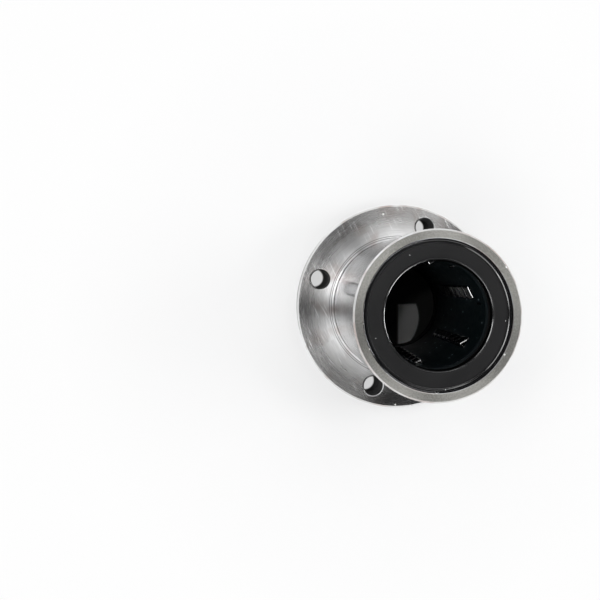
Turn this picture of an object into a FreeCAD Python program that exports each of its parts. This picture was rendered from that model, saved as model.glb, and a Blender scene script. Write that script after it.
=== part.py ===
import FreeCAD, Part
import Sketcher
import itertools
import math
import os

# Flanged linear ball bushing for a round shaft, in millimetres.
# +Z runs along the bore, z = 0 is the outer face of the flange, on which the bushing stands.

doc = FreeCAD.newDocument("flanged_linear_bushing")

# Driving dimensions

SIZES = {
    "shaft_dia": 25.0,
    "ball_dia": 3.969,
    "race_gap": 0.031,
    "rib_height": 1.25,
    "wall": 2.25,
    "sleeve_len": 59.0,
    "end_bevel": 0.4,
    "mouth_bevel": 0.12,
    "flange_thick": 8.0,
    "edge_bevel": 0.5,
    "relief_width": 0.8,
    "relief_depth": 0.2,
    "bolt_count": 4,
    "bolt_turn": 45.0,
    "bolt_hole_dia": 5.5,
    "bolt_head_dia": 9.0,
    "bolt_head_margin": 1.0,
    "hole_bevel": 0.5,
    "circuits": 6,
    "rib_angle": 24.0,
    "cage_turn": 10.0,
    "cage_bore_gap": 0.25,
    "cage_race_gap": 0.2,
    "track_gap": 0.15,
    "slot_width": 3.0,
    "slot_gap": 0.05,
    "slot_run": 1.0,
    "track_end_wall": 2.5,
    "ramp_len": 3.0,
    "return_gap": 0.1,
    "ball_gap": 0.4,
    "end_gap": 0.1,
    "ring_thick": 2.0,
    "ring_bore_gap": 0.9,
    "fit_gap": 0.02,
    "seal_recess": 0.5,
    "seal_thick": 3.0,
    "lip_bevel": 0.35,
}

sheet = doc.addObject("Spreadsheet::Sheet", "Sizes")
for row, (alias, size) in enumerate(SIZES.items(), start=1):
    sheet.set(f"A{row}", alias)
    sheet.set(f"B{row}", str(size))
    sheet.setAlias(f"B{row}", alias)
doc.recompute()

# Sizes worked out from the driving ones, as expressions
# Radii from the shaft outwards

SHAFT_R = "(Sizes.shaft_dia / 2)"
BALL_R = "(Sizes.ball_dia / 2)"
RACE_R = f"({SHAFT_R} + Sizes.ball_dia + Sizes.race_gap)"
BORE_R = f"({RACE_R} + Sizes.rib_height)"
BARREL_R = f"({BORE_R} + Sizes.wall)"
BOLT_CIRCLE_R = f"({BARREL_R} + Sizes.bolt_head_margin + Sizes.bolt_head_dia / 2)"
FLANGE_R = f"({BOLT_CIRCLE_R} + Sizes.bolt_head_dia / 2 + Sizes.bolt_head_margin)"
SEAT_R = f"({BORE_R} - Sizes.fit_gap)"
CAGE_IN_R = f"({SHAFT_R} + Sizes.cage_bore_gap)"
CAGE_OUT_R = f"({RACE_R} - Sizes.cage_race_gap)"

# Ball lanes: the loaded lane rolls on the shaft, the return lane runs clear of it.
# Across a circuit the lanes lie at +half_pitch and -half_pitch from its middle plane.

LOAD_R = f"({SHAFT_R} + {BALL_R})"
RETURN_R = f"({BORE_R} - Sizes.return_gap - {BALL_R})"
HALF_PITCH = f"(({LOAD_R} + {RETURN_R}) / 2 * sin(90 / Sizes.circuits))"
LOAD_DEPTH = f"sqrt({LOAD_R}^2 - {HALF_PITCH}^2)"
RETURN_DEPTH = f"sqrt({RETURN_R}^2 - {HALF_PITCH}^2)"
LOAD_TURN = f"asin({HALF_PITCH} / {LOAD_R})"
TRACK_WIDTH = "(Sizes.ball_dia + 2 * Sizes.track_gap)"
TRACK_FLOOR = f"({RETURN_DEPTH} - {BALL_R} - Sizes.track_gap)"
SLOT_FLOOR = f"({LOAD_R} - sqrt({BALL_R}^2 - (Sizes.slot_width / 2 - Sizes.slot_gap)^2))"

# Heights along the bore

CAGE_LOW = "(Sizes.seal_recess + Sizes.seal_thick + Sizes.ring_thick + Sizes.end_gap)"
TURN_LOW = f"({CAGE_LOW} + Sizes.track_end_wall + {HALF_PITCH} + {TRACK_WIDTH} / 2)"
TURN_HIGH = f"(Sizes.sleeve_len - {TURN_LOW})"
LOAD_LOW = f"({TURN_LOW} + Sizes.ramp_len)"
LOAD_HIGH = f"({TURN_HIGH} - Sizes.ramp_len)"


def value(expression):
    """The number that an expression on the sheet's sizes gives."""
    result = sheet.evalExpression(expression)
    return float(getattr(result, "Value", result))


# Sketch and feature helpers

def new_body(label):
    """An empty body for one piece."""
    body = doc.addObject("PartDesign::Body", label)
    body.Label = label
    return body


def origin_item(body, role):
    """An axis or plane of the body's own origin."""
    return next(item for item in body.Origin.OriginFeatures if item.Role == role)


def new_sketch(body, name):
    """A sketch on the upright plane through the bore's axis, its x the radius and its y the height."""
    sketch = body.newObject("Sketcher::SketchObject", name)
    sketch.AttachmentSupport = [(origin_item(body, "XZ_Plane"), "")]
    sketch.MapMode = "FlatFace"
    return sketch


def bind(sketch, constraint, expression):
    """Adds a dimension to the sketch and ties it to the sheet."""
    index = sketch.addConstraint(constraint)
    sketch.setExpression(f"Constraints[{index}]", expression)


def place_point(sketch, edge, end, x, y):
    """Holds one end of an edge at the expressions x and y, or on an axis where one is zero."""
    for expression, axis, kind in ((x, -2, "DistanceX"), (y, -1, "DistanceY")):
        size = value(expression)
        if expression == "0":
            sketch.addConstraint(Sketcher.Constraint("PointOnObject", edge, end, axis))
        elif size < 0:
            bind(sketch, Sketcher.Constraint(kind, edge, end, -1, 1, -size), f"-({expression})")
        else:
            bind(sketch, Sketcher.Constraint(kind, -1, 1, edge, end, size), expression)


def draw_outline(sketch, corners):
    """A closed outline of straight edges through corners, each a pair of expressions."""
    points = [FreeCAD.Vector(value(x), value(y), 0) for x, y in corners]
    for start, end in zip(points, points[1:] + points[:1]):
        sketch.addGeometry(Part.LineSegment(start, end), False)
    for edge, (x, y) in enumerate(corners):
        before = (edge - 1) % len(corners)
        sketch.addConstraint(Sketcher.Constraint("Coincident", before, 2, edge, 1))
        place_point(sketch, edge, 1, x, y)


def draw_stadium(sketch, radius, low, high):
    """Two half circles of this radius on the upright axis, at low and high, and the lines between them."""
    size = value(radius)
    bottom = FreeCAD.Vector(0, value(low), 0)
    top = FreeCAD.Vector(0, value(high), 0)
    side = FreeCAD.Vector(size, 0, 0)
    up = FreeCAD.Vector(0, 0, 1)
    upper = sketch.addGeometry(Part.ArcOfCircle(Part.Circle(top, up, size), 0, math.pi), False)
    left = sketch.addGeometry(Part.LineSegment(top - side, bottom - side), False)
    lower = sketch.addGeometry(Part.ArcOfCircle(Part.Circle(bottom, up, size), math.pi, 2 * math.pi), False)
    right = sketch.addGeometry(Part.LineSegment(bottom + side, top + side), False)
    for first, second in ((upper, left), (left, lower), (lower, right), (right, upper)):
        sketch.addConstraint(Sketcher.Constraint("Tangent", first, 2, second, 1))
    sketch.addConstraint(Sketcher.Constraint("Vertical", left))
    place_point(sketch, upper, 3, "0", high)
    place_point(sketch, lower, 3, "0", low)
    bind(sketch, Sketcher.Constraint("Radius", upper, size), radius)


def spin(body, kind, name, sketch):
    """A Revolution or Groove of a sketch about its own upright axis."""
    feature = body.newObject(f"PartDesign::{kind}", name)
    feature.Profile = sketch
    feature.ReferenceAxis = (sketch, ["V_Axis"])
    feature.Angle = 360
    return feature


def around_bore(body, name, features, count):
    """Repeats features evenly round the bore's axis."""
    pattern = body.newObject("PartDesign::PolarPattern", name)
    pattern.Originals = features
    pattern.Axis = (origin_item(body, "Z_Axis"), [""])
    pattern.Angle = 360
    pattern.setExpression("Occurrences", count)
    body.Tip = pattern
    return pattern


# Sleeve: the outer cylinder and its flange, one turned piece

def make_sleeve():
    body = new_body("sleeve")
    outline = new_sketch(body, "sleeve_outline")
    draw_outline(outline, [
        (BORE_R, "0"),
        (f"{FLANGE_R} - Sizes.edge_bevel", "0"),
        (FLANGE_R, "Sizes.edge_bevel"),
        (FLANGE_R, "Sizes.flange_thick - Sizes.edge_bevel"),
        (f"{FLANGE_R} - Sizes.edge_bevel", "Sizes.flange_thick"),
        (f"{BARREL_R} + Sizes.relief_width", "Sizes.flange_thick"),
        (BARREL_R, "Sizes.flange_thick - Sizes.relief_depth"),
        (BARREL_R, "Sizes.sleeve_len - Sizes.end_bevel"),
        (f"{BARREL_R} - Sizes.end_bevel", "Sizes.sleeve_len"),
        (f"{BORE_R} + Sizes.mouth_bevel", "Sizes.sleeve_len"),
        (BORE_R, "Sizes.sleeve_len - Sizes.mouth_bevel"),
    ])
    spin(body, "Revolution", "turned_blank", outline)

    # A raceway rib stands over each loaded lane, with ends that slope away for the balls to enter.
    rib_outline = new_sketch(body, "rib_outline")
    rib_outline.AttachmentOffset = FreeCAD.Placement(
        FreeCAD.Vector(), FreeCAD.Rotation(FreeCAD.Vector(0, 1, 0), 1))
    rib_outline.setExpression(
        "AttachmentOffset.Rotation.Angle", f"{LOAD_TURN} + (Sizes.cage_turn - 90) * 1 deg")
    rib_root = f"{BORE_R} + Sizes.wall / 2"
    draw_outline(rib_outline, [
        (RACE_R, LOAD_LOW),
        (RACE_R, LOAD_HIGH),
        (BORE_R, f"{LOAD_HIGH} + Sizes.rib_height"),
        (rib_root, f"{LOAD_HIGH} + Sizes.rib_height"),
        (rib_root, f"{LOAD_LOW} - Sizes.rib_height"),
        (BORE_R, f"{LOAD_LOW} - Sizes.rib_height"),
    ])
    rib = spin(body, "Revolution", "raceway_rib", rib_outline)
    rib.Midplane = True
    rib.setExpression("Angle", "Sizes.rib_angle")
    doc.recompute()
    around_bore(body, "raceway_ribs", [rib], "Sizes.circuits")

    # A bolt hole runs straight through the flange and is bevelled at both faces.
    hole_outline = new_sketch(body, "bolt_hole_outline")
    bolt_x = f"{BOLT_CIRCLE_R} * cos(Sizes.bolt_turn)"
    bolt_y = f"{BOLT_CIRCLE_R} * sin(Sizes.bolt_turn)"
    hole_outline.setExpression("AttachmentOffset.Base.x", bolt_x)
    hole_outline.setExpression("AttachmentOffset.Base.z", f"-({bolt_y})")
    draw_outline(hole_outline, [
        ("0", "0"),
        ("Sizes.bolt_hole_dia / 2 + Sizes.hole_bevel", "0"),
        ("Sizes.bolt_hole_dia / 2", "Sizes.hole_bevel"),
        ("Sizes.bolt_hole_dia / 2", "Sizes.flange_thick - Sizes.hole_bevel"),
        ("Sizes.bolt_hole_dia / 2 + Sizes.hole_bevel", "Sizes.flange_thick"),
        ("0", "Sizes.flange_thick"),
    ])
    hole = spin(body, "Groove", "bolt_hole", hole_outline)
    doc.recompute()
    around_bore(body, "bolt_holes", [hole], "Sizes.bolt_count")
    return body


# Ball cage: a resin tube with one closed track for each circuit

def make_cage():
    body = new_body("ball_cage")
    outline = new_sketch(body, "cage_outline")
    cage_high = f"Sizes.sleeve_len - {CAGE_LOW}"
    draw_outline(outline, [
        (CAGE_IN_R, CAGE_LOW),
        (CAGE_OUT_R, CAGE_LOW),
        (CAGE_OUT_R, cage_high),
        (CAGE_IN_R, cage_high),
    ])
    spin(body, "Revolution", "cage_tube", outline)

    def pocket_from_outside(name, sketch, turn, floor):
        """Cuts a sketch from the tube's outside to a floor, at this angle from the circuit's middle."""
        sketch.AttachmentOffset = FreeCAD.Placement(
            FreeCAD.Vector(), FreeCAD.Rotation(FreeCAD.Vector(0, 1, 0), 1))
        sketch.setExpression("AttachmentOffset.Rotation.Angle", turn)
        sketch.setExpression("AttachmentOffset.Base.x", f"{CAGE_OUT_R} * sin({turn})")
        sketch.setExpression("AttachmentOffset.Base.z", f"{CAGE_OUT_R} * cos({turn})")
        pocket = body.newObject("PartDesign::Pocket", name)
        pocket.Profile = sketch
        pocket.setExpression("Length", f"{CAGE_OUT_R} - ({floor})")
        doc.recompute()
        return pocket

    def draw_lane(sketch, width, low, high):
        draw_outline(sketch, [
            (f"-{width} / 2", low),
            (f"{width} / 2", low),
            (f"{width} / 2", high),
            (f"-{width} / 2", high),
        ])

    # The whole loop is cut to the return lane's floor, round an island between the two lanes.
    loop = new_sketch(body, "loop_outline")
    draw_stadium(loop, f"{HALF_PITCH} + {TRACK_WIDTH} / 2", TURN_LOW, TURN_HIGH)
    draw_stadium(loop, f"{HALF_PITCH} - {TRACK_WIDTH} / 2", TURN_LOW, TURN_HIGH)
    loop_cut = pocket_from_outside("loop_cut", loop, "0 deg", TRACK_FLOOR)

    # The loaded lane goes deeper, and a narrower slot lets its balls reach the shaft but not fall out.
    # The slot runs a little way into the turns, where the balls have left the shaft.
    lane = new_sketch(body, "loaded_lane_outline")
    draw_lane(lane, TRACK_WIDTH, TURN_LOW, TURN_HIGH)
    lane_cut = pocket_from_outside("loaded_lane_cut", lane, LOAD_TURN, SLOT_FLOOR)
    slot = new_sketch(body, "ball_slot_outline")
    draw_lane(slot, "Sizes.slot_width", f"{TURN_LOW} - Sizes.slot_run", f"{TURN_HIGH} + Sizes.slot_run")
    slot_cut = pocket_from_outside("ball_slot_cut", slot, LOAD_TURN, f"{SHAFT_R} - {BALL_R}")
    around_bore(body, "ball_tracks", [loop_cut, lane_cut, slot_cut], "Sizes.circuits")
    turn_with_cage(body)
    return body


def turn_with_cage(piece):
    """Turns a piece round the bore by the angle at which the cage lies."""
    piece.Placement = FreeCAD.Placement(FreeCAD.Vector(), FreeCAD.Rotation(FreeCAD.Vector(0, 0, 1), 1))
    piece.setExpression("Placement.Rotation.Angle", "Sizes.cage_turn * 1 deg")


# Balls: each circuit is a chain of separate balls round its track

def make_ball():
    """A ball with twenty flat faces and its twelve corners on the true ball, the first one at the top."""
    radius = value(BALL_R)
    golden = (1 + math.sqrt(5)) / 2
    corners = []
    for one in (-1, 1):
        for other in (-golden, golden):
            corners += [
                FreeCAD.Vector(0, one, other),
                FreeCAD.Vector(one, other, 0),
                FreeCAD.Vector(other, 0, one),
            ]
    upright = FreeCAD.Rotation(corners[0], FreeCAD.Vector(0, 0, 1))
    corners = [upright.multVec(corner).normalize() * radius for corner in corners]
    edge = min(corners[0].distanceToPoint(corner) for corner in corners[1:])
    faces = []
    for triple in itertools.combinations(corners, 3):
        sides = [first.distanceToPoint(second) for first, second in itertools.combinations(triple, 2)]
        if math.isclose(max(sides), edge, rel_tol=0.01):
            faces.append(Part.Face(Part.makePolygon([*triple, triple[0]])))
    ball = Part.Solid(Part.Shell(faces))
    if ball.Volume < 0:
        ball.reverse()
    return ball


def track_point(travel):
    """Where the ball that has gone this far round the loop has its centre."""
    half_pitch = value(HALF_PITCH)
    loaded = value(LOAD_DEPTH)
    returning = value(RETURN_DEPTH)
    low = value(TURN_LOW)
    high = value(TURN_HIGH)
    straight = high - low
    turn = math.pi * half_pitch
    if travel < straight:
        ramp = min(travel, straight - travel) / value("Sizes.ramp_len")
        depth = max(loaded, returning + ramp * (loaded - returning))
        return FreeCAD.Vector(half_pitch, -depth, low + travel)
    if travel < straight + turn:
        angle = (travel - straight) / half_pitch
        return FreeCAD.Vector(half_pitch * math.cos(angle), -returning, high + half_pitch * math.sin(angle))
    if travel < 2 * straight + turn:
        return FreeCAD.Vector(-half_pitch, -returning, high - (travel - straight - turn))
    angle = (travel - 2 * straight - turn) / half_pitch
    return FreeCAD.Vector(-half_pitch * math.cos(angle), -returning, low - half_pitch * math.sin(angle))


def make_circuits():
    half_pitch = value(HALF_PITCH)
    loop_length = 2 * (value(TURN_HIGH) - value(TURN_LOW)) + 2 * math.pi * half_pitch
    # Balls stand closest where the track turns, so the spacing leaves them clear of each other there.
    chord = value("Sizes.ball_dia + Sizes.ball_gap")
    closest = 2 * half_pitch * math.asin(chord / (2 * half_pitch))
    count = math.floor(loop_length / closest)
    ball = make_ball()
    # One ball stands where the loaded run ends, and the others follow it round the loop.
    first = value(LOAD_HIGH) - value(TURN_LOW)
    chain = []
    for index in range(count):
        # One corner points straight out from the bore's axis, so the opposite one touches the shaft.
        centre = track_point((first + index * loop_length / count) % loop_length)
        outwards = FreeCAD.Vector(centre.x, centre.y, 0)
        placed = ball.copy()
        placed.Placement = FreeCAD.Placement(
            centre, FreeCAD.Rotation(FreeCAD.Vector(0, 0, 1), outwards))
        chain.append(placed)
    share = 360 / value("Sizes.circuits")
    circuits = []
    for number in range(round(value("Sizes.circuits"))):
        label = f"balls_circuit_{number + 1}"
        circuit = doc.addObject("Part::Feature", label)
        circuit.Label = label
        circuit.Shape = Part.makeCompound([item.copy() for item in chain])
        angle = value("Sizes.cage_turn") + number * share
        circuit.Placement = FreeCAD.Placement(
            FreeCAD.Vector(), FreeCAD.Rotation(FreeCAD.Vector(0, 0, 1), angle))
        circuits.append(circuit)
    print(f"{count} balls in each circuit")
    return circuits


# Ends: a ring that holds the cage and a rubber seal in front of it, the same at both ends

def from_barrel_end(depth):
    return f"Sizes.sleeve_len - ({depth})"


def from_flange_end(depth):
    return f"{depth}"


def make_ring(label, height):
    body = new_body(label)
    outline = new_sketch(body, f"{label}_outline")
    front = height("Sizes.seal_recess + Sizes.seal_thick")
    back = height("Sizes.seal_recess + Sizes.seal_thick + Sizes.ring_thick")
    ring_in_r = f"{SHAFT_R} + Sizes.ring_bore_gap"
    draw_outline(outline, [(ring_in_r, front), (SEAT_R, front), (SEAT_R, back), (ring_in_r, back)])
    spin(body, "Revolution", f"{label}_ring", outline)
    return body


def make_seal(label, height):
    body = new_body(label)
    outline = new_sketch(body, f"{label}_outline")
    face = "Sizes.seal_recess"
    back = "Sizes.seal_recess + Sizes.seal_thick"
    draw_outline(outline, [
        (SHAFT_R, height(back)),
        (SHAFT_R, height(f"{face} + Sizes.lip_bevel")),
        (f"{SHAFT_R} + Sizes.lip_bevel", height(face)),
        (SEAT_R, height(face)),
        (SEAT_R, height(back)),
    ])
    spin(body, "Revolution", f"{label}_ring", outline)
    return body


pieces = [make_sleeve(), make_cage()]
pieces += make_circuits()
for end, height in (("barrel_end", from_barrel_end), ("flange_end", from_flange_end)):
    pieces.append(make_ring(f"{end}_ring", height))
    pieces.append(make_seal(f"{end}_seal", height))
doc.recompute()

# Every object has to have come out whole before a file is written.

for item in doc.Objects:
    if "Invalid" in item.State or "Error" in item.State:
        raise RuntimeError(f"{item.Name} failed: {item.State}")
for piece in pieces:
    if piece.Shape.isNull() or not piece.Shape.isValid():
        raise RuntimeError(f"{piece.Label} has no sound shape")

os.makedirs("parts", exist_ok=True)
for piece in pieces:
    piece.Shape.exportStep(f"parts/{piece.Label}.step")
    print(f"{piece.Label}: {len(piece.Shape.Solids)} solids, {piece.Shape.Volume:.1f} cubic mm")
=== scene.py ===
# %% [markdown]
# # A flanged linear bushing, dressed for its picture
# The bushing is a hardened steel sleeve with a round bolt flange. Rubber seals close both ends, and
# inside, steel balls run round closed tracks in a dark resin cage, so that a shaft can slide through
# almost without friction. Its solids were made in CAD and come in here as a fixed frame. Blender adds
# what CAD leaves plain: the moulded shape of the seals, round balls, the finish of each metal face, light
# and a camera.

# %% The frame
import math

import bpy
from mathutils import Euler, Matrix, Vector


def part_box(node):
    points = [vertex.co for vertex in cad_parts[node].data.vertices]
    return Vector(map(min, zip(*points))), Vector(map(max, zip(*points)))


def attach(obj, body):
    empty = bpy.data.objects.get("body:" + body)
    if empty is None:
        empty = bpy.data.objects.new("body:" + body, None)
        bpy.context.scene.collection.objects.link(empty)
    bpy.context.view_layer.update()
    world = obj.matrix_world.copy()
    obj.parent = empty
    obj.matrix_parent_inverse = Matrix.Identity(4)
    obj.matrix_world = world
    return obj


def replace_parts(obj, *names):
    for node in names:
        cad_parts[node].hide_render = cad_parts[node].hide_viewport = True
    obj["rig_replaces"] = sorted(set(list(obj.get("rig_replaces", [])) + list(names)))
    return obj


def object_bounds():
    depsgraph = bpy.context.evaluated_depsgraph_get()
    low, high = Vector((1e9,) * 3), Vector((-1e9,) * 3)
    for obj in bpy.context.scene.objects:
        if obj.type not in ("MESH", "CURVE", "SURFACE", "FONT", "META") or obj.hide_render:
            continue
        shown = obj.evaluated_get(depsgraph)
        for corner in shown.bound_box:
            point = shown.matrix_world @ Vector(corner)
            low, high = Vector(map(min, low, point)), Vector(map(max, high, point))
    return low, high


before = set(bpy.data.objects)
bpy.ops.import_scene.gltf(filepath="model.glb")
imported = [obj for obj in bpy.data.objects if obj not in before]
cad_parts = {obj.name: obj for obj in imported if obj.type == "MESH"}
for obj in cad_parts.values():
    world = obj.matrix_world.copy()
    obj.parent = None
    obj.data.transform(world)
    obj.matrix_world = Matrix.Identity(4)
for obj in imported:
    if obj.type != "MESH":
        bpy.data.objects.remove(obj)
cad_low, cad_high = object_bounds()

MM = 0.001
print("nodes:", ", ".join(sorted(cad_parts)))
print("height of the bushing, mm:", round((cad_high.z - cad_low.z) / MM, 2))

# %% [markdown]
# ## Heights read from the frame
# The new pieces have to sit where the CAD solids are, so their heights are read from the solids' boxes
# and not typed in again. The bore, the seals and the balls share the Z axis, and the flange's outer face
# lies at height zero.

# %% Heights
sleeve_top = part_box("sleeve")[1].z
seal_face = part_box("barrel_end_seal")[1].z
print("sleeve's end and its seal's face, mm up:", round(sleeve_top / MM, 3), round(seal_face / MM, 3))

# %% [markdown]
# ## The barrel's seal
# The seal is one rubber ring: a bead at its rim with two fine ridges on it, a groove inside the bead, a
# broad flat face, and a thin lip that wipes the shaft. The bead and the lip have narrow bevels that catch
# a line of light. A lathe outline spun round the axis would do, and so would a subdivided tube. Here one
# circle is extruded ring after ring, each ring scaled to its radius and lifted to its height, because
# that is how the ring would be drawn by hand, and every step of its section can be read in the lists
# below.

# %% The seal's section
# Each step is a radius and a height above the seal's face, in millimetres. They run from the outer
# bottom edge upwards, inwards across the face and down again inside the lip.
seat_radius = 17.73
lip_radius = 12.5
seal_bottom = -3.00
outer_wall = [(seat_radius, seal_bottom), (seat_radius, -0.42)]
bead = [(17.68, -0.22), (17.58, -0.10), (17.48, -0.04)]
ridges = [
    (17.44, -0.09), (17.38, -0.09), (17.34, -0.01), (17.26, 0.00),
    (17.22, -0.06), (17.16, -0.06), (17.12, 0.00)]
bead_bevel = [(17.07, -0.008), (17.03, -0.024), (16.83, -0.125)]
groove = [(16.82, -0.20), (16.80, -0.30), (16.74, -0.32), (16.66, -0.30), (16.62, -0.18), (16.56, -0.10)]
flat_face = [(16.40, -0.08), (15.20, -0.08), (14.00, -0.08), (13.46, -0.08)]
hollow = [(13.38, -0.10), (13.32, -0.15), (13.26, -0.16), (13.21, -0.12), (13.17, -0.05)]
lip_bevel = [(13.12, -0.01), (13.07, 0.00), (13.03, -0.012), (12.95, -0.05), (12.81, -0.138)]
lip_wall = [
    (12.78, -0.23), (12.70, -0.40), (12.62, -0.56), (12.54, -0.70),
    (lip_radius, -0.82), (lip_radius, -1.00)]
underside = [(12.58, -1.20), (13.05, -1.90), (13.60, -2.60), (14.20, seal_bottom)]
seal_steps = (outer_wall + bead + ridges + bead_bevel + groove + flat_face
              + hollow + lip_bevel + lip_wall + underside)
print("steps of the section:", len(seal_steps))

# %% The seal's ring
corners_round = 192
smooth_below = math.radians(32)


def deselect_everything():
    """Leaves nothing selected, so that the next operator acts only on what it adds."""
    if bpy.context.object and bpy.context.object.mode != "OBJECT":
        bpy.ops.object.mode_set(mode="OBJECT")
    bpy.ops.object.select_all(action="DESELECT")


def ring_of_steps(name, steps, base):
    """A closed ring: one circle extruded through (radius, height) steps, in mm above the height base."""
    deselect_everything()
    first_radius, first_height = steps[0]
    bpy.ops.mesh.primitive_circle_add(
        vertices=corners_round, radius=first_radius * MM, location=(0, 0, base + first_height * MM))
    ring = bpy.context.object
    ring.name = name
    bpy.ops.object.transform_apply(location=True, rotation=True, scale=True)
    bpy.ops.object.mode_set(mode="EDIT")
    bpy.ops.mesh.select_mode(type="EDGE")
    bpy.ops.mesh.select_all(action="SELECT")
    for (radius, height), (next_radius, next_height) in zip(steps, steps[1:]):
        share = next_radius / radius
        bpy.ops.mesh.extrude_edges_move(
            TRANSFORM_OT_translate={"value": (0, 0, (next_height - height) * MM)})
        bpy.ops.transform.resize(value=(share, share, 1), center_override=(0, 0, 0))
    # The last ring is joined to the first, which closes the section.
    bpy.ops.mesh.select_all(action="DESELECT")
    bpy.ops.mesh.select_non_manifold(
        extend=False, use_wire=False, use_multi_face=False, use_non_contiguous=False, use_verts=False)
    bpy.ops.mesh.bridge_edge_loops()
    bpy.ops.mesh.select_all(action="SELECT")
    bpy.ops.mesh.normals_make_consistent(inside=False)
    bpy.ops.object.mode_set(mode="OBJECT")
    bpy.ops.object.shade_smooth_by_angle(angle=smooth_below)
    return ring


barrel_seal = ring_of_steps("barrel_seal_ring", seal_steps, seal_face)
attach(barrel_seal, "root")
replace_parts(barrel_seal, "barrel_end_seal")
print("seal faces:", len(barrel_seal.data.polygons))

# %% [markdown]
# ## The flange's seal
# The same moulding closes the flange end, facing the other way. A copy of the finished ring is turned
# over about the middle of the sleeve. Turning, unlike mirroring, keeps its faces pointing outwards.

# %% The seal, turned over
deselect_everything()
barrel_seal.select_set(True)
bpy.context.view_layer.objects.active = barrel_seal
bpy.ops.object.duplicate()
flange_seal = bpy.context.object
flange_seal.name = "flange_seal_ring"
del flange_seal["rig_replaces"]
flange_seal.data.transform(Matrix.Translation((0, 0, sleeve_top)) @ Matrix.Rotation(math.pi, 4, "X"))
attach(flange_seal, "root")
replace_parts(flange_seal, "flange_end_seal")
print("flange seal from", round(min(v.co.z for v in flange_seal.data.vertices) / MM, 2), "mm up")

# %% [markdown]
# ## One ball
# A bearing ball is as round as anything that is made, and its glint gives away every flat. The CAD balls
# have twenty faces each, so they are replaced. A sphere with poles would show its poles, so a cube is
# subdivided and cast onto a sphere instead.

# %% One round ball
ball_radius = 3.969 / 2 * MM
cuts_per_edge = 7
deselect_everything()
bpy.ops.mesh.primitive_cube_add(size=2 * ball_radius)
ball = bpy.context.object
ball.name = "bearing_ball"
bpy.ops.object.mode_set(mode="EDIT")
bpy.ops.mesh.select_all(action="SELECT")
bpy.ops.mesh.subdivide(number_cuts=cuts_per_edge)
bpy.ops.object.mode_set(mode="OBJECT")
cast = ball.modifiers.new("onto_sphere", "CAST")
cast.factor = 1.0
cast.radius = ball_radius
cast.use_radius_as_size = False
cast.size = ball_radius
bpy.ops.object.modifier_apply(modifier=cast.name)
bpy.ops.object.shade_smooth()
print("ball faces:", len(ball.data.polygons), "radius, mm:",
      round(max(v.co.length for v in ball.data.vertices) / MM, 4))

# %% [markdown]
# ## Six circuits of balls
# The balls of a circuit are one node in the frame, and its mesh lists the corners of one ball after the
# other. The mean of a ball's corners is its middle, so the round ball is copied to each middle, and the
# copies of a circuit are joined into one piece.

# %% Six circuits of balls
balls_per_circuit = 18


def ball_middles(node):
    """The middle of each ball of a CAD circuit."""
    corners = [vertex.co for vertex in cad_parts[node].data.vertices]
    corners_per_ball = len(corners) // balls_per_circuit
    for start in range(0, len(corners), corners_per_ball):
        one_ball = corners[start:start + corners_per_ball]
        yield sum(one_ball, Vector()) / corners_per_ball


circuits = []
for node in sorted(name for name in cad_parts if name.startswith("balls_circuit")):
    copies = []
    for middle in ball_middles(node):
        copy = ball.copy()
        copy.data = ball.data.copy()
        copy.data.transform(Matrix.Translation(middle))
        bpy.context.collection.objects.link(copy)
        copies.append(copy)
    deselect_everything()
    for copy in copies:
        copy.select_set(True)
    bpy.context.view_layer.objects.active = copies[0]
    bpy.ops.object.join()
    circuit = bpy.context.object
    circuit.name = node.replace("balls", "round_balls")
    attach(circuit, "root")
    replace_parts(circuit, node)
    circuits.append(circuit)
    print(circuit.name, len(copies), "balls")
bpy.data.objects.remove(ball)

# %% [markdown]
# ## Building materials from nodes
# Each finish below is a small network of nodes. Clicking it together by hand would do as well, but a few
# helpers keep the networks short and easy to read. An input is given either a plain value or the output
# of an earlier node, by its name or, with an underscore before it, by its number.

# %% Node helpers


def add_node(tree, kind, settings=None, **inputs):
    """A node of this kind, with its settings made and its inputs filled or linked."""
    node = tree.nodes.new(kind)
    for name, setting in (settings or {}).items():
        setattr(node, name, setting)
    for name, given in inputs.items():
        socket = node.inputs[int(name[1:])] if name[0] == "_" else node.inputs[name.replace("_", " ")]
        if isinstance(given, bpy.types.NodeSocket):
            tree.links.new(given, socket)
        else:
            socket.default_value = given
    return node


def math_node(tree, operation, *values):
    """The output of a Math node on one, two or three values."""
    inputs = {f"_{place}": given for place, given in enumerate(values)}
    return add_node(tree, "ShaderNodeMath", {"operation": operation}, **inputs).outputs[0]


def vector_node(tree, operation, *values):
    """The output of a Vector Math node: a number where the operation is LENGTH, and otherwise a vector."""
    inputs = {f"_{place}": given for place, given in enumerate(values)}
    node = add_node(tree, "ShaderNodeVectorMath", {"operation": operation}, **inputs)
    return node.outputs[1] if operation == "LENGTH" else node.outputs[0]


def mix_colour(tree, share, first, second):
    """The output of a colour mix: all first where share is 0, all second where it is 1."""
    return add_node(tree, "ShaderNodeMix", {"data_type": "RGBA"}, _0=share, _6=first, _7=second).outputs[2]


def noise(tree, point, scale, detail):
    """The output of a Noise texture, which lies round 0.5."""
    return add_node(tree, "ShaderNodeTexNoise", Vector=point, Scale=scale, Detail=detail).outputs[0]


def spread(tree, given, limits, new_limits):
    """A value stretched from one range to another, and held inside it."""
    node = add_node(tree, "ShaderNodeMapRange", {"clamp": True}, Value=given)
    for name, limit in zip(("From Min", "From Max", "To Min", "To Max"), (*limits, *new_limits)):
        node.inputs[name].default_value = limit
    return node.outputs[0]


def rise(tree, given, limits):
    """0 below the two limits, 1 above them, and a ramp between them."""
    return spread(tree, given, limits, (0.0, 1.0))


def fall(tree, given, limits):
    """1 below the two limits, 0 above them, and a ramp between them."""
    return spread(tree, given, limits, (1.0, 0.0))


print("node helpers ready")

# %% [markdown]
# ## Materials and groups
# A new material comes with a Principled shader, which only needs its inputs. An effect that several
# materials use is made once as a node group, with sockets of its own, and placed in each of them.

# %% Material and group helpers
FLOAT = "NodeSocketFloat"
VECTOR = "NodeSocketVector"


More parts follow.
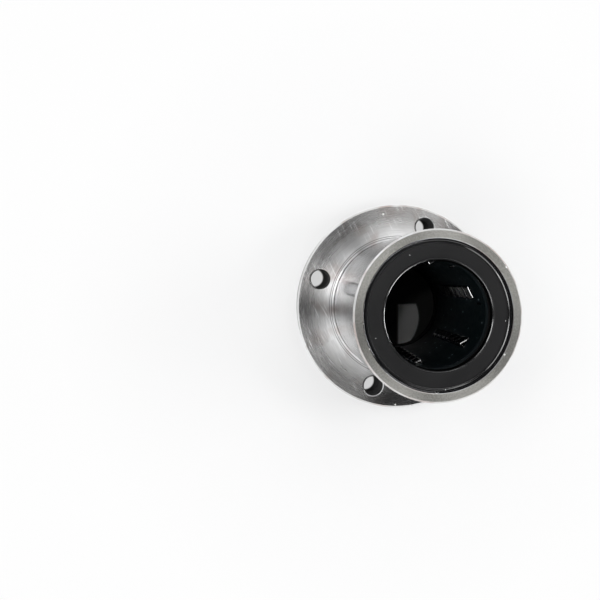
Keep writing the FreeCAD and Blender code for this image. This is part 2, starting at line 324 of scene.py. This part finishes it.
def new_material(name):
    """An empty material, its node tree and its Principled shader."""
    material = bpy.data.materials.new(name)
    material.use_nodes = True
    tree = material.node_tree
    shader = tree.nodes["Principled BSDF"]
    return material, tree, shader


def new_group(name, inputs, outputs):
    """A shader node group with named number or vector sockets, its input node and its output node."""
    tree = bpy.data.node_groups.new(name, "ShaderNodeTree")
    for label, kind, start in inputs:
        socket = tree.interface.new_socket(label, in_out="INPUT", socket_type=kind)
        if start is not None:
            socket.default_value = start
    for label in outputs:
        tree.interface.new_socket(label, in_out="OUTPUT", socket_type=FLOAT)
    return tree, tree.nodes.new("NodeGroupInput"), tree.nodes.new("NodeGroupOutput")


def use_group(tree, group, **inputs):
    """A group placed in a material, with its inputs filled or linked."""
    return add_node(tree, "ShaderNodeGroup", {"node_tree": group}, **inputs)


print("material helpers ready")

# %% [markdown]
# ## Round the axis
# The sleeve was turned and ground on a lathe, so its marks follow circles round the bore. This group
# turns a point into a distance from the axis, in millimetres, and an angle round it, which the finishes
# below use as coordinates.

# %% Group: round the axis
round_axis, tree_in, tree_out = new_group("round_the_axis", [("Point", VECTOR, None)], ["Radius", "Angle"])
x, y = add_node(round_axis, "ShaderNodeSeparateXYZ", _0=tree_in.outputs["Point"]).outputs[:2]
squares = math_node(round_axis, "MULTIPLY_ADD", y, y, math_node(round_axis, "MULTIPLY", x, x))
radius_mm = math_node(round_axis, "MULTIPLY", math_node(round_axis, "SQRT", squares), 1 / MM)
round_axis.links.new(radius_mm, tree_out.inputs["Radius"])
round_axis.links.new(math_node(round_axis, "ARCTAN2", y, x), tree_out.inputs["Angle"])
print(round_axis.name, "gives", [socket.name for socket in tree_out.inputs if socket.name])

# %% [markdown]
# ## Tool marks
# A cutting tool or a grinding wheel leaves long fine lines. Noise that is stretched along the way the
# tool went looks like them. This group takes two coordinates, one across the marks and one along them,
# and gives lines of two widths mixed together.

# %% Group: tool marks
fine_share, broad_share = 0.6, 0.4
broad_lines_per_fine = 0.22
broad_layer = 7.3
marks_between = (0.32, 0.68)
tool_marks, tree_in, tree_out = new_group(
    "tool_marks",
    [("Across", FLOAT, 0.0), ("Along", FLOAT, 0.0), ("Lines per mm", FLOAT, 4.0)],
    ["Marks"])
along = tree_in.outputs["Along"]
fine_across = math_node(tool_marks, "MULTIPLY", tree_in.outputs["Across"], tree_in.outputs["Lines per mm"])
broad_across = math_node(tool_marks, "MULTIPLY", fine_across, broad_lines_per_fine)
fine_point = add_node(tool_marks, "ShaderNodeCombineXYZ", X=fine_across, Y=along)
broad_point = add_node(tool_marks, "ShaderNodeCombineXYZ", X=broad_across, Y=along, Z=broad_layer)
fine = add_node(
    tool_marks, "ShaderNodeTexNoise", Vector=fine_point.outputs[0],
    Scale=1.0, Detail=4.0, Roughness=0.6).outputs[0]
broad = noise(tool_marks, broad_point.outputs[0], scale=1.0, detail=2.0)
marks = math_node(tool_marks, "ADD", math_node(tool_marks, "MULTIPLY", fine, fine_share),
                  math_node(tool_marks, "MULTIPLY", broad, broad_share))
tool_marks.links.new(rise(tool_marks, marks, marks_between), tree_out.inputs["Marks"])
print(tool_marks.name, "ready")

# %% [markdown]
# ## Scratches
# Handling leaves a few short bright scratches at odd angles. Noise that is stretched very far in one
# direction and cut off near its peak gives thin lines, and a second, coarse noise lets them show only in
# patches.

# %% Group: scratches
# For each direction: its turn in degrees, how thin and how short its lines are, and where in the noise
# they start.
scratch_ways = ((24, 2600, 120, 0.0), (-57, 2100, 90, 3.1), (81, 2400, 150, 5.7))
peaks_between = (0.70, 0.78)
patches_between = (0.44, 0.60)
scratches, tree_in, tree_out = new_group(
    "scratches", [("Point", VECTOR, None), ("Amount", FLOAT, 0.5)], ["Scratches"])
coarse = noise(scratches, tree_in.outputs["Point"], scale=130.0, detail=1.0)
patches = rise(scratches, coarse, patches_between)
found = 0.0
for turn_degrees, thin, short, start in scratch_ways:
    turned = add_node(
        scratches, "ShaderNodeMapping", Vector=tree_in.outputs["Point"], Location=(start, start, start),
        Rotation=(0, 0, math.radians(turn_degrees)), Scale=(thin, short, short))
    lines = rise(scratches, noise(scratches, turned.outputs[0], scale=1.0, detail=0.0), peaks_between)
    found = math_node(scratches, "MAXIMUM", found, lines)
shown = math_node(scratches, "MULTIPLY", found, patches)
scratches.links.new(
    math_node(scratches, "MULTIPLY", shown, tree_in.outputs["Amount"]), tree_out.inputs["Scratches"])
print(scratches.name, "in", len(scratch_ways), "directions")

# %% [markdown]
# ## Dust
# Dark rubber and oiled steel show every grain of dust. Voronoi cells with a random value each make good
# grains: only the few cells with the highest value are used, and each grain is a small dot at the middle
# of its cell.

# %% Group: dust
least_dot, dot_range = 0.05, 0.16
dust, tree_in, tree_out = new_group(
    "dust", [("Point", VECTOR, None), ("Grains per m", FLOAT, 1500.0), ("Share", FLOAT, 0.05)], ["Grains"])
cells = add_node(
    dust, "ShaderNodeTexVoronoi", Vector=tree_in.outputs["Point"], Scale=tree_in.outputs["Grains per m"])
cell_value = add_node(dust, "ShaderNodeSeparateColor", Color=cells.outputs["Color"])
chosen = math_node(
    dust, "GREATER_THAN", cell_value.outputs[0], math_node(dust, "SUBTRACT", 1.0, tree_in.outputs["Share"]))
dot_size = math_node(dust, "MULTIPLY_ADD", cell_value.outputs[1], dot_range, least_dot)
dot = math_node(dust, "LESS_THAN", cells.outputs["Distance"], dot_size)
dust.links.new(math_node(dust, "MULTIPLY", chosen, dot), tree_out.inputs["Grains"])
print(dust.name, "ready")

# %% [markdown]
# ## Where each finish lies
# The sleeve is one piece of steel with several finishes: the flange's face is turned, its side is dull and
# painted darker, as shade, the barrel is ground bright, the barrel's end is ground dull, the bevels are
# left from the tool, and the bolt holes are drilled, with their walls painted black, as shade. Splitting
# the mesh by finish would need new faces. Here the finish at a point follows from its radius, its height
# and which way its face looks, so the CAD mesh needs no marking.

# %% Sleeve zones
# Lengths are in millimetres, and a pair holds the two ends of a zone's soft edge. The first two pairs
# tell how far a face looks straight up or down.
flat_from = (0.85, 0.95)
side_until = (0.15, 0.35)
flange_thick = 8.0
flange_radius = cad_high.x / MM
sleeve_long = sleeve_top / MM
end_face_from = (sleeve_long - 1.0, sleeve_long - 0.4)
barrel_from = (flange_thick, flange_thick + 0.3)
flange_side_from = (flange_radius - 0.6, flange_radius - 0.2)

sleeve_steel, tree, shader = new_material("sleeve_steel")
place = add_node(tree, "ShaderNodeTexCoord")
point = place.outputs["Object"]
sides = add_node(tree, "ShaderNodeSeparateXYZ", _0=point).outputs
height = math_node(tree, "MULTIPLY", sides[2], 1 / MM)
polar = use_group(tree, round_axis, Point=point)
radius, angle = polar.outputs["Radius"], polar.outputs["Angle"]
facing = add_node(tree, "ShaderNodeSeparateXYZ", _0=place.outputs["Normal"])
flatness = math_node(tree, "ABSOLUTE", facing.outputs[2])
on_flat = rise(tree, flatness, flat_from)
off_flat = math_node(tree, "SUBTRACT", 1.0, on_flat)
on_side = fall(tree, flatness, side_until)
on_bevel = math_node(tree, "SUBTRACT", off_flat, on_side)
on_end_face = math_node(tree, "MULTIPLY", on_flat, rise(tree, height, end_face_from))
on_barrel = math_node(tree, "MULTIPLY", on_side, rise(tree, height, barrel_from))
on_flange_side = math_node(tree, "MULTIPLY", on_side, rise(tree, radius, flange_side_from))
print("zones by face ready on", sleeve_steel.name)

# %% [markdown]
# ## Bolt holes and dark rings
# The four bolt holes fold onto one when the signs of x and y are dropped, so one circle marks them all.
# Three thin rings darken the corner round the barrel's root and the edges of its relief.

# %% Holes and corners
hole_circle = 51.0
hole_middle = hole_circle / 2 * math.cos(math.radians(45))
hole_until = (2.95, 3.10)
hole_x, hole_y = (
    math_node(tree, "MULTIPLY_ADD", math_node(tree, "ABSOLUTE", side), 1 / MM, -hole_middle)
    for side in sides[:2])
hole_squares = math_node(tree, "MULTIPLY_ADD", hole_x, hole_x, math_node(tree, "MULTIPLY", hole_y, hole_y))
in_hole = fall(tree, math_node(tree, "SQRT", hole_squares), hole_until)

# Three thin dark rings in the corner round the barrel's root.
dark_ring_radii = (20.04, 20.82, 21.35)
dark_ring_width = (0.04, 0.13)
dark_rings_from = (flange_thick - 1.0, flange_thick - 0.5)
dark_rings_until = (flange_thick + 0.05, flange_thick + 0.20)
in_corner = math_node(tree, "MULTIPLY", fall(tree, height, dark_rings_until), rise(tree, height, dark_rings_from))
on_ring = 0.0
for ring_radius in dark_ring_radii:
    off_ring = math_node(tree, "ABSOLUTE", math_node(tree, "SUBTRACT", radius, ring_radius))
    on_ring = math_node(tree, "MAXIMUM", on_ring, fall(tree, off_ring, dark_ring_width))
corner_dark_rings = math_node(tree, "MULTIPLY", on_ring, in_corner)
print("a bolt hole's middle, mm from the axis both ways:", round(hole_middle, 3))

# %% [markdown]
# ## Patterns on the steel
# Turned and ground steel carries fine lines that run round the axis: side by side along the radius on
# flat faces, and along the height everywhere else. Scratches show on the flange only. Clouds, oil stains
# and grit are plain noise of three sizes.

# %% Sleeve patterns
noise_between = (0.35, 0.65)
stain_between, stain_share = (0.50, 0.68), (0.0, 0.75)
outer_ring_from = (21.5, 27.5)
line_changes_per_radian = 3.0
line_place = math_node(
    tree, "ADD", math_node(tree, "MULTIPLY", radius, on_flat),
    math_node(tree, "MULTIPLY", height, off_flat))
line_way = math_node(tree, "MULTIPLY", angle, line_changes_per_radian)
marks = use_group(tree, tool_marks, Across=line_place, Along=line_way, Lines_per_mm=4.5).outputs[0]
nicks = use_group(tree, scratches, Point=point, Amount=0.6).outputs[0]
nicks = math_node(tree, "MULTIPLY", nicks, math_node(tree, "SUBTRACT", on_flat, on_end_face))
grains = use_group(tree, dust, Point=point, Grains_per_m=900.0, Share=0.05).outputs[0]
specks = use_group(tree, dust, Point=point, Grains_per_m=620.0, Share=0.02).outputs[0]
cloud = rise(tree, noise(tree, point, scale=90.0, detail=8.0), noise_between)
stain = spread(tree, noise(tree, point, scale=140.0, detail=2.0), stain_between, stain_share)
grit = rise(tree, noise(tree, point, scale=3200.0, detail=2.0), noise_between)
# The outer part of the flange's face is painted darker, as shade, and is also a little smoother.
outer_ring = math_node(tree, "MULTIPLY", rise(tree, radius, outer_ring_from), on_flat)
print("patterns ready on", sleeve_steel.name)

# %% [markdown]
# ## Colour of the steel
# The colours are laid over each other like glazes, each with its own share at each point: first the steel
# with its oil stains, then what each zone adds, with painted shade on the outer flange face and on the
# flange's side, then marks, scratches and dust, and at last the dark corner rings and painted shade in the
# holes.

# %% Sleeve colour
steel_grey, steel_light = (0.70, 0.70, 0.69, 1), (0.90, 0.90, 0.90, 1)
oil_brown = (0.50, 0.41, 0.38, 1)
ground_grey = (0.74, 0.75, 0.78, 1)
dull_dark, dull_light = (0.28, 0.277, 0.258, 1), (0.42, 0.415, 0.387, 1)
outer_shade_grey = (0.24, 0.235, 0.23, 1)
mark_grey = (0.26, 0.255, 0.25, 1)
# Painted shade on the flange's side.
flange_side_shade = (0.18, 0.18, 0.176, 1)
nick_white = (0.95, 0.95, 0.95, 1)
grain_dark = (0.12, 0.11, 0.10, 1)
speck_white = (0.80, 0.80, 0.78, 1)
corner_ring_dark = (0.06, 0.055, 0.05, 1)
# Painted shade on the walls of the bolt holes.
hole_shade_black = (0.008, 0.008, 0.008, 1)
ground_share, outer_shade_share, flange_side_shade_share, corner_ring_share = 0.7, 0.65, 0.8, 0.85
least_marks, more_on_flats = 0.17, 0.36
most_grains, less_on_sides = 0.5, -0.4

marks_share = math_node(tree, "MULTIPLY_ADD", on_flat, more_on_flats, least_marks)
grain_share = math_node(tree, "MULTIPLY_ADD", on_side, less_on_sides, most_grains)
glazes = (
    (stain, oil_brown),
    (math_node(tree, "MULTIPLY", on_side, ground_share), ground_grey),
    (on_end_face, mix_colour(tree, grit, dull_dark, dull_light)),
    (math_node(tree, "MULTIPLY", outer_ring, outer_shade_share), outer_shade_grey),
    (math_node(tree, "MULTIPLY", marks, marks_share), mark_grey),
    (math_node(tree, "MULTIPLY", on_flange_side, flange_side_shade_share), flange_side_shade),
    (nicks, nick_white),
    (math_node(tree, "MULTIPLY", grains, grain_share), grain_dark),
    (specks, speck_white),
    (math_node(tree, "MULTIPLY", corner_dark_rings, corner_ring_share), corner_ring_dark),
    (in_hole, hole_shade_black),
)
colour = mix_colour(tree, cloud, steel_grey, steel_light)
for share, glaze in glazes:
    colour = mix_colour(tree, share, colour, glaze)
tree.links.new(colour, shader.inputs["Base Color"])
print("glazes on the steel:", len(glazes))

# %% [markdown]
# ## Gloss of the steel
# Each zone has its own roughness. Turned metal also spreads a highlight across its grooves, which is what
# the shader's anisotropy does: the tangent runs round the axis, and a quarter turn lays the spread across
# it. The barrel's end is ground across, so its tangent points outwards. The marks and scratches cast tiny
# shadows through a bump.

# %% Sleeve gloss
marks_off_middle = math_node(tree, "SUBTRACT", marks, 0.5)
turned_rough = 0.34
rough_changes = (
    (on_end_face, 0.18), (outer_ring, -0.08), (on_barrel, -0.24), (on_bevel, -0.27),
    (marks_off_middle, 0.08), (in_hole, 0.6))
roughness = turned_rough
for zone, change in rough_changes:
    roughness = math_node(tree, "MULTIPLY_ADD", zone, change, roughness)
tree.links.new(roughness, shader.inputs["Roughness"])
bare = math_node(tree, "SUBTRACT", 1.0, math_node(tree, "MAXIMUM", in_hole, specks))
tree.links.new(bare, shader.inputs["Metallic"])

shader.inputs["Anisotropic"].default_value = 0.9
shader.inputs["Anisotropic Rotation"].default_value = 0.25
round_way = add_node(tree, "ShaderNodeTangent", {"direction_type": "RADIAL", "axis": "Z"}).outputs[0]
outwards = add_node(tree, "ShaderNodeCombineXYZ", X=sides[0], Y=sides[1]).outputs[0]
outwards = vector_node(tree, "NORMALIZE", outwards)
groove_way = add_node(
    tree, "ShaderNodeMix", {"data_type": "VECTOR"}, _0=on_end_face, _4=round_way, _5=outwards).outputs[1]
tree.links.new(groove_way, shader.inputs["Tangent"])
relief = math_node(tree, "MULTIPLY_ADD", nicks, -0.6, marks)
bump = add_node(tree, "ShaderNodeBump", Strength=0.1, Distance=0.02 * MM, Height=relief)
tree.links.new(bump.outputs[0], shader.inputs["Normal"])
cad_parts["sleeve"].data.materials[0] = sleeve_steel
print(sleeve_steel.name, len(tree.nodes), "nodes")

# %% [markdown]
# ## Rubber of the seals
# Moulded rubber is nearly black and satin. Its own colour hardly shows, so what the eye reads is the soft
# sheen, a very fine grain from the mould, and dust. The lip and the bead are smoother and shinier than
# the flat face, as if the mould was polished there, so they catch a thin line of light. The wall inside
# the lip is painted darker still, as shade, and has no extra shine. The shader's specular level shouldn't
# hang on a group, so the distance from the axis is worked out here with plain nodes: the length of the
# point once its height is dropped.

# %% Seal rubber
lip_until = (13.08, 13.14)
wall_until = (12.77, 12.80)
bead_from = (16.6, 16.8)
rubber_black, rubber_bloom = (0.004, 0.004, 0.0045, 1), (0.007, 0.007, 0.0075, 1)
dust_grey = (0.45, 0.46, 0.46, 1)
# Painted shade on the wall inside the lip.
wall_shade_black = (0.001, 0.001, 0.001, 1)
noise_middle = (0.3, 0.7)
satin_rough = (0.46, 0.57)
polish = -0.40
sheen, polished_sheen = 0.26, 0.45

seal_rubber, tree, shader = new_material("seal_rubber")
point = add_node(tree, "ShaderNodeTexCoord").outputs["Object"]
radius = vector_node(tree, "LENGTH", vector_node(tree, "MULTIPLY", point, (1 / MM, 1 / MM, 0)))
grain = noise(tree, point, scale=2600.0, detail=3.0)
bloom = noise(tree, point, scale=90.0, detail=3.0)
grains = use_group(tree, dust, Point=point, Grains_per_m=1100.0, Share=0.035).outputs[0]
on_wall = fall(tree, radius, wall_until)
smooth = math_node(tree, "MAXIMUM", fall(tree, radius, lip_until), rise(tree, radius, bead_from))
colour = mix_colour(tree, bloom, rubber_black, rubber_bloom)
colour = mix_colour(tree, grains, colour, dust_grey)
colour = mix_colour(tree, on_wall, colour, wall_shade_black)
tree.links.new(colour, shader.inputs["Base Color"])
satin = spread(tree, bloom, noise_middle, satin_rough)
tree.links.new(math_node(tree, "MULTIPLY_ADD", smooth, polish, satin), shader.inputs["Roughness"])
polished = math_node(tree, "SUBTRACT", smooth, on_wall)
shine = math_node(tree, "MULTIPLY_ADD", polished, polished_sheen, sheen)
tree.links.new(shine, shader.inputs["Specular IOR Level"])
bump = add_node(tree, "ShaderNodeBump", Strength=0.12, Distance=0.03 * MM, Height=grain)
tree.links.new(bump.outputs[0], shader.inputs["Normal"])
for ring in (barrel_seal, flange_seal):
    ring.data.materials.append(seal_rubber)
for node in ("barrel_end_seal", "flange_end_seal"):
    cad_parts[node].data.materials[0] = seal_rubber
print(seal_rubber.name, len(tree.nodes), "nodes")

# %% [markdown]
# ## Resin of the cage
# The cage is moulded in dark resin with a slight gloss, filled with fibre, which leaves a faint mottling.
# It lines the bore, where a little bluish dust lies on it.

# %% Cage resin
resin_dark, resin_light = (0.002, 0.004, 0.005, 1), (0.005, 0.010, 0.012, 1)
dust_blue = (0.62, 0.74, 0.80, 1)
resin_rough = (0.34, 0.46)
cage_resin, tree, shader = new_material("cage_resin")
point = add_node(tree, "ShaderNodeTexCoord").outputs["Object"]
mottle = noise(tree, point, scale=700.0, detail=4.0)
grains = use_group(tree, dust, Point=point, Grains_per_m=800.0, Share=0.12).outputs[0]
colour = mix_colour(tree, mottle, resin_dark, resin_light)
tree.links.new(mix_colour(tree, grains, colour, dust_blue), shader.inputs["Base Color"])
tree.links.new(spread(tree, mottle, noise_middle, resin_rough), shader.inputs["Roughness"])
shader.inputs["Specular IOR Level"].default_value = 0.25
bump = add_node(tree, "ShaderNodeBump", Strength=0.1, Distance=0.03 * MM, Height=mottle)
tree.links.new(bump.outputs[0], shader.inputs["Normal"])
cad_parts["ball_cage"].data.materials[0] = cage_resin
print(cage_resin.name, len(tree.nodes), "nodes")

# %% [markdown]
# ## Steel of the balls
# The balls are lapped to a mirror. They carry a thin film of oil, which darkens them a little and shows
# as slight clouds in their gloss.

# %% Ball steel
oiled_dark, oiled_light = (0.34, 0.34, 0.34, 1), (0.44, 0.44, 0.435, 1)
ball_rough = (0.08, 0.13)
ball_steel, tree, shader = new_material("ball_steel")
film = noise(tree, add_node(tree, "ShaderNodeTexCoord").outputs["Object"], scale=420.0, detail=2.0)
tree.links.new(mix_colour(tree, film, oiled_dark, oiled_light), shader.inputs["Base Color"])
tree.links.new(spread(tree, film, noise_middle, ball_rough), shader.inputs["Roughness"])
shader.inputs["Metallic"].default_value = 1.0
for circuit in circuits:
    circuit.data.materials.clear()
    circuit.data.materials.append(ball_steel)
print(ball_steel.name, "on", len(circuits), "circuits")

# %% [markdown]
# ## Steel of the end rings
# The rings behind the seals are pressed steel, dark as blackened steel is, with faint marks round the axis.

# %% Ring steel
black_dark, black_light = (0.05, 0.048, 0.045, 1), (0.09, 0.088, 0.085, 1)
ring_rough = (0.38, 0.52)
ring_steel, tree, shader = new_material("ring_steel")
polar = use_group(tree, round_axis, Point=add_node(tree, "ShaderNodeTexCoord").outputs["Object"])
radius, angle = polar.outputs["Radius"], polar.outputs["Angle"]
marks = use_group(tree, tool_marks, Across=radius, Along=angle, Lines_per_mm=3.0).outputs[0]
tree.links.new(mix_colour(tree, marks, black_dark, black_light), shader.inputs["Base Color"])
tree.links.new(spread(tree, marks, (0.0, 1.0), ring_rough), shader.inputs["Roughness"])
shader.inputs["Metallic"].default_value = 1.0
for node in ("barrel_end_ring", "flange_end_ring"):
    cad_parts[node].data.materials[0] = ring_steel
print(ring_steel.name, len(tree.nodes), "nodes")

# %% [markdown]
# ## Camera
# The picture was taken from almost straight above, a little to the left of the bushing, so the barrel
# leans away to the right. Place, lens and tilt were fitted to the edges of the flange, the barrel's end
# and its mouth. The frame is shifted, since the lens points near the bushing, which doesn't stand in the
# middle of the picture. The bolt holes stand turned round the bore from where the frame has them, so the
# camera and the lights are given as the picture shows them and then turned back as one.

# %% Camera
picture_angle = math.radians(26.32)
picture_turn = Matrix.Rotation(-picture_angle, 4, "Z")
camera_place = Vector((-36.166, 9.144, 202.371)) * MM
camera_tilt = Euler((0.04944, -0.18347, -0.00455))
camera_data = bpy.data.cameras.new("picture_camera")
camera_data.sensor_width = 36.0
camera_data.lens = 38.485
camera_data.shift_x = -0.16462
camera_data.shift_y = -0.09272
camera_data.clip_start = 0.01
camera = bpy.data.objects.new("picture_camera", camera_data)
bpy.context.collection.objects.link(camera)
camera.matrix_world = picture_turn @ Matrix.Translation(camera_place) @ camera_tilt.to_matrix().to_4x4()
bpy.context.scene.camera = camera
print("camera at, mm:", [round(part / MM, 1) for part in camera.matrix_world.translation])

# %% [markdown]
# ## Floor
# The bushing stands on a white table. The floor is a wide disc with a faint unevenness that answers light
# as white card does, so it keeps the shadow. Under the flange the table lies in the dark, apart from a
# patch under the bore. Lamps alone light it too evenly there, so the shade and the patch are part of its
# colour. The patch is a disc with two straight cuts, as the far end of the bore shows it.

# %% Floor
table_radius = 4.0
flange_edge = (30.0 * MM, 31.0 * MM)
patch_middle = Vector((-3.6, -4.2, 0.0)) * MM
patch_edge = (11.2 * MM, 11.6 * MM)
left_cut = (0.7 * MM, 1.3 * MM)
back_cut = (-0.2 * MM, 0.3 * MM)
card_white, card_bright = (0.84, 0.84, 0.84, 1), (0.87, 0.87, 0.87, 1)
shade_dark = (0.06, 0.06, 0.06, 1)

deselect_everything()
bpy.ops.mesh.primitive_circle_add(vertices=96, radius=table_radius, fill_type="NGON", location=(0, 0, 0))
floor = bpy.context.object
floor.name = "white_table"
table_white, tree, shader = new_material("table_white")
point = add_node(tree, "ShaderNodeTexCoord").outputs["Object"]
from_middle = vector_node(tree, "LENGTH", point)
past_flange = rise(tree, from_middle, flange_edge)
in_picture = add_node(tree, "ShaderNodeMapping", Vector=point, Rotation=(0, 0, picture_angle)).outputs[0]
picture_sides = add_node(tree, "ShaderNodeSeparateXYZ", _0=in_picture).outputs
off_patch = vector_node(tree, "LENGTH", vector_node(tree, "SUBTRACT", in_picture, patch_middle))
patch = fall(tree, off_patch, patch_edge)
patch = math_node(tree, "MULTIPLY", patch, rise(tree, picture_sides[0], left_cut))
patch = math_node(tree, "MULTIPLY", patch, fall(tree, picture_sides[1], back_cut))
shaded = math_node(tree, "SUBTRACT", 1.0, math_node(tree, "MAXIMUM", past_flange, patch))
colour = mix_colour(tree, noise(tree, point, scale=9.0, detail=2.0), card_white, card_bright)
tree.links.new(mix_colour(tree, shaded, colour, shade_dark), shader.inputs["Base Color"])
shader.inputs["Roughness"].default_value = 0.9
shader.inputs["Specular IOR Level"].default_value = 0.1
floor.data.materials.append(table_white)
print("floor", floor.name)

# %% [markdown]
# ## White of the floor
# A share of plain white is mixed into the floor for the camera and for reflections, which lifts the
# background without shedding more light on dull faces. It grows from the flange outwards, so that the
# shadow near the bushing stays. Through each bolt hole a round spot of it shows, a little to the left of
# the hole's middle: a painted spot of light on the shaded table.

# %% White share
near_and_far = (32.0 * MM, 100.0 * MM)
white_near_and_far = (0.50, 0.92)
spot_edge = (2.5 * MM, 2.9 * MM)
spot_painted_light = (0.62, 0.0)
spot_shift = picture_turn @ Vector((-1.4, 0.4, 0.0)) * MM
hole_place = Vector((hole_middle, hole_middle, 0.0)) * MM

folded = vector_node(tree, "ABSOLUTE", vector_node(tree, "SUBTRACT", point, spot_shift))
off_spot = vector_node(tree, "LENGTH", vector_node(tree, "SUBTRACT", folded, hole_place))
# A painted spot of light on the table under each bolt hole.
painted_light_spot = spread(tree, off_spot, spot_edge, spot_painted_light)
around = spread(tree, from_middle, near_and_far, white_near_and_far)
around = math_node(tree, "MULTIPLY", past_flange, around)
white_share = math_node(tree, "MAXIMUM", painted_light_spot, around)
path = add_node(tree, "ShaderNodeLightPath")
seen = math_node(tree, "MAXIMUM", path.outputs["Is Camera Ray"], path.outputs["Is Glossy Ray"])
seen = math_node(tree, "MAXIMUM", seen, path.outputs["Is Transmission Ray"])
plain_white = add_node(tree, "ShaderNodeEmission", Color=(1, 1, 1, 1), Strength=1.0).outputs[0]
lifted = add_node(
    tree, "ShaderNodeMixShader", _0=math_node(tree, "MULTIPLY", seen, white_share), _1=shader.outputs[0],
    _2=plain_white)
tree.links.new(lifted.outputs[0], tree.nodes["Material Output"].inputs["Surface"])
print(table_white.name, len(tree.nodes), "nodes")

# %% [markdown]
# ## Room
# The walls of the room are white, its ceiling is dim, and straight overhead it is dark. Faces that look
# up then come out mid grey, and the bevels and the sides, which look at the walls and the table, come out
# bright. That contrast is what makes metal look like metal.

# %% Room
ceiling_from = (0.15, 0.40)
overhead_from = (0.80, 0.92)
wall_white = (0.95, 0.96, 0.97, 1)
ceiling_grey = (0.17, 0.173, 0.176, 1)
overhead_dark = (0.006, 0.006, 0.006, 1)
world = bpy.data.worlds.new("white_room")
bpy.context.scene.world = world
world.use_nodes = True
tree = world.node_tree
room = tree.nodes["Background"]
way = add_node(tree, "ShaderNodeTexCoord").outputs["Generated"]
way_up = add_node(tree, "ShaderNodeSeparateXYZ", _0=way).outputs[2]
colour = mix_colour(tree, rise(tree, way_up, ceiling_from), wall_white, ceiling_grey)
colour = mix_colour(tree, rise(tree, way_up, overhead_from), colour, overhead_dark)
tree.links.new(colour, room.inputs["Color"])
room.inputs["Strength"].default_value = 1.0
print("room", world.name)

# %% [markdown]
# ## Lamps
# Four soft boxes hang round the left of the bushing, from behind it to its front, and one hangs behind it
# at the right. They draw bright fans across the turned grooves of the flange. Low at the right stand a
# box and two strips, which the bevel of the seal's lip mirrors as a thin line. The strips show in
# reflections only. A small high lamp sends light down the bore, and is hidden from reflections. Each lamp
# is aimed at the middle of the bushing.

# %% Lamps
lamp_aim = Vector((0, 0, 0.03))


def soft_box(name, towards, up, distance, wide, tall, brightness):
    """A rectangular lamp aimed at the bushing, at angles round the picture and above the table."""
    lamp_data = bpy.data.lights.new(name, "AREA")
    lamp_data.shape = "RECTANGLE"
    lamp_data.size = wide
    lamp_data.size_y = tall
    lamp_data.energy = brightness * math.pi * wide * tall
    lamp = bpy.data.objects.new(name, lamp_data)
    bpy.context.collection.objects.link(lamp)
    round_angle, up_angle = math.radians(towards), math.radians(up)
    out = Vector((math.cos(round_angle) * math.cos(up_angle),
                  math.sin(round_angle) * math.cos(up_angle), math.sin(up_angle)))
    lamp.matrix_world = (
        picture_turn @ Matrix.Translation(lamp_aim + out * distance)
        @ out.to_track_quat("Z", "Y").to_matrix().to_4x4())
    print(name, round(lamp_data.energy, 2), "W")
    return lamp


# Degrees round and up, then distance, width and height in metres, and brightness.
soft_box("far_left_box", 128, 57, 0.60, 0.12, 0.14, 5.0)
soft_box("left_box", 160, 57, 0.60, 0.20, 0.16, 9.5)
soft_box("low_left_box", 216, 58, 0.60, 0.20, 0.14, 7.2)
soft_box("front_box", 250, 55, 0.65, 0.26, 0.22, 3.4)
soft_box("back_box", 66, 62, 0.70, 0.36, 0.24, 3.3)
soft_box("right_box", 5, 20, 0.60, 0.30, 0.05, 38.0)
for name, towards in (("right_back_strip", 52), ("right_front_strip", -42)):
    strip = soft_box(name, towards, 22, 0.60, 0.44, 0.05, 24.0)
    strip.visible_diffuse = False
high_box = soft_box("high_box", 150, 74, 0.60, 0.02, 0.02, 108.0)
high_box.visible_glossy = False

# %% [markdown]
# ## View
# Colours are shown as they are, with no film look.

# %% Finish
bpy.context.scene.view_settings.view_transform = "Standard"
